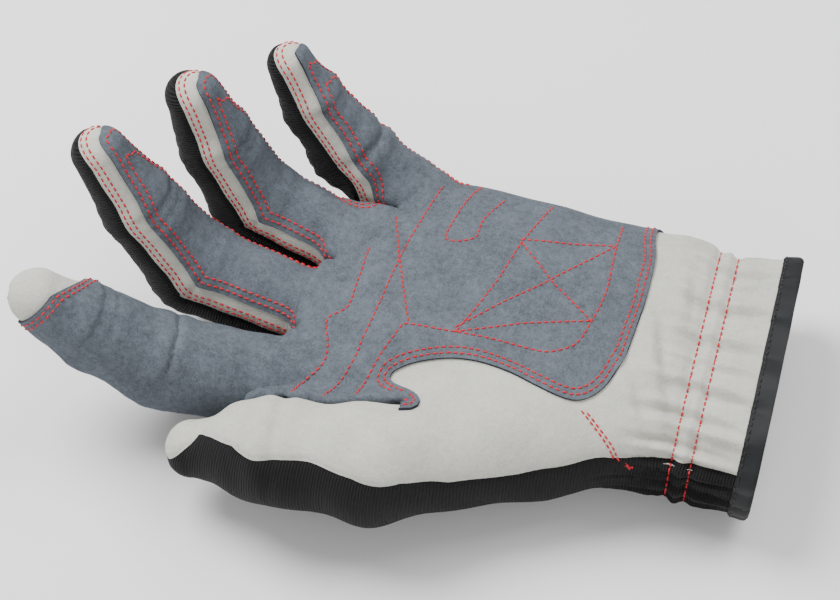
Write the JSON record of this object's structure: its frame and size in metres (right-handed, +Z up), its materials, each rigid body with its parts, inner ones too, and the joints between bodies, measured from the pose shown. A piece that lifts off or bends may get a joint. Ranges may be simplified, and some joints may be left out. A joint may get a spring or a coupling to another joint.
{
  "type": "sailing glove",
  "caption": "Full-finger left-hand sailing glove lying palm up with curled fingers: pale suede front, grey reinforcement, black knit back, elastic wrist and bound cuff.",
  "frame": {"origin": "middle of the glove's box, on the surface it lies on", "axes": "+X from the fingers to the cuff, along the hand; +Y from the thumb to the little finger; +Z up out of the palm, with the glove lying on its back"},
  "size_m": [0.2139, 0.1319, 0.0778],
  "materials": {
    "pale_suede": "matt brushed suede",
    "grey_suede": "matt brushed suede",
    "black_knit": "ribbed knit",
    "red_thread": "twisted polyester thread",
    "black_binding": "smooth stretch tape",
    "white_elastic": "woven elastic"
  },
  "bodies": {
    "palm": {"palm_front": "pale_suede", "palm_overlay": "grey_suede", "heel_front": "pale_suede", "heel_overlay": "grey_suede", "back_panel": "black_knit", "web_index_middle": "pale_suede", "web_middle_ring": "pale_suede", "web_ring_little": "pale_suede", "thumb_bartack": "red_thread"},
    "cuff": {"cuff_front": "pale_suede", "cuff_back": "black_knit", "wrist_elastic": "white_elastic", "elastic_thread": "red_thread", "cuff_binding": "black_binding"},
    "index_base": {"index_base_front": "grey_suede", "index_base_back": "black_knit"},
    "index_mid": {"index_mid_front": "grey_suede", "index_mid_back": "black_knit"},
    "index_tip": {"index_tip_front": "grey_suede", "index_tip_back": "black_knit", "index_tip_cap": "pale_suede"},
    "middle_base": {"middle_base_front": "pale_suede", "middle_base_overlay": "grey_suede", "middle_base_back": "black_knit"},
    "middle_mid": {"middle_mid_front": "pale_suede", "middle_mid_overlay": "grey_suede", "middle_mid_back": "black_knit"},
    "middle_tip": {"middle_tip_front": "pale_suede", "middle_tip_overlay": "grey_suede", "middle_tip_back": "black_knit"},
    "ring_base": {"ring_base_front": "pale_suede", "ring_base_overlay": "grey_suede", "ring_base_back": "black_knit"},
    "ring_mid": {"ring_mid_front": "pale_suede", "ring_mid_overlay": "grey_suede", "ring_mid_back": "black_knit"},
    "ring_tip": {"ring_tip_front": "pale_suede", "ring_tip_overlay": "grey_suede", "ring_tip_back": "black_knit"},
    "little_base": {"little_base_front": "pale_suede", "little_base_overlay": "grey_suede", "little_base_back": "black_knit"},
    "little_mid": {"little_mid_front": "pale_suede", "little_mid_overlay": "grey_suede", "little_mid_back": "black_knit"},
    "little_tip": {"little_tip_front": "pale_suede", "little_tip_overlay": "grey_suede", "little_tip_back": "black_knit"},
    "thumb_base": {"thumb_base_front": "pale_suede", "thumb_base_back": "black_knit"},
    "thumb_tip": {"thumb_tip_front": "pale_suede", "thumb_tip_back": "black_knit"}
  },
  "joints": [
    {"name": "index_knuckle", "type": "hinge", "parent": "palm", "child": "index_base", "pos_m": [-0.03504, -0.02486, 0.02149], "axis": [-0.2419, 0.9703, 0], "range_deg": [-25, 45]},
    {"name": "index_middle_joint", "type": "hinge", "parent": "index_base", "child": "index_mid", "pos_m": [-0.06567, -0.0325, 0.02793], "axis": [-0.2419, 0.9703, 0], "range_deg": [-26, 50]},
    {"name": "index_tip_joint", "type": "hinge", "parent": "index_mid", "child": "index_tip", "pos_m": [-0.08408, -0.03709, 0.0419], "axis": [-0.2419, 0.9703, 0], "range_deg": [-11, 45]},
    {"name": "middle_knuckle", "type": "hinge", "parent": "palm", "child": "middle_base", "pos_m": [-0.03494, 0.00202, 0.02086], "axis": [-0.0349, 0.9994, 0], "range_deg": [-25, 45]},
    {"name": "middle_middle_joint", "type": "hinge", "parent": "middle_base", "child": "middle_mid", "pos_m": [-0.06819, 0.00086, 0.02898], "axis": [-0.0349, 0.9994, 0], "range_deg": [-44, 50]},
    {"name": "middle_tip_joint", "type": "hinge", "parent": "middle_mid", "child": "middle_tip", "pos_m": [-0.08292, 0.00035, 0.05122], "axis": [-0.0349, 0.9994, 0], "range_deg": [-11, 45]},
    {"name": "ring_knuckle", "type": "hinge", "parent": "palm", "child": "ring_base", "pos_m": [-0.02685, 0.02667, 0.02235], "axis": [0.0349, 0.9994, 0], "range_deg": [-25, 45]},
    {"name": "ring_middle_joint", "type": "hinge", "parent": "ring_base", "child": "ring_mid", "pos_m": [-0.05864, 0.02778, 0.03115], "axis": [0.0349, 0.9994, 0], "range_deg": [-48, 50]},
    {"name": "ring_tip_joint", "type": "hinge", "parent": "ring_mid", "child": "ring_tip", "pos_m": [-0.06994, 0.02818, 0.05284], "axis": [0.0349, 0.9994, 0], "range_deg": [-13, 45]},
    {"name": "little_knuckle", "type": "hinge", "parent": "palm", "child": "little_base", "pos_m": [-0.01914, 0.04992, 0.02628], "axis": [0.0523, 0.9986, 0], "range_deg": [-25, 45]},
    {"name": "little_middle_joint", "type": "hinge", "parent": "little_base", "child": "little_mid", "pos_m": [-0.03694, 0.05086, 0.03846], "axis": [0.0523, 0.9986, 0], "range_deg": [-22, 50]},
    {"name": "little_tip_joint", "type": "hinge", "parent": "little_mid", "child": "little_tip", "pos_m": [-0.04832, 0.05145, 0.05342], "axis": [0.0523, 0.9986, 0], "range_deg": [-13, 45]},
    {"name": "thumb_knuckle", "type": "hinge", "parent": "palm", "child": "thumb_base", "pos_m": [0.00334, -0.04651, 0.0324], "axis": [-0.1724, 0.985, 0], "range_deg": [-15, 35]},
    {"name": "thumb_joint", "type": "hinge", "parent": "thumb_base", "child": "thumb_tip", "pos_m": [-0.02531, -0.05153, 0.0313], "axis": [-0.1755, 0.9845, 0], "range_deg": [-20, 45]},
    {"name": "wrist_bend", "type": "hinge", "parent": "palm", "child": "cuff", "pos_m": [0.0704, 0.019, 0.019], "axis": [0, -1, 0], "range_deg": [-25, 30]}
  ]
}
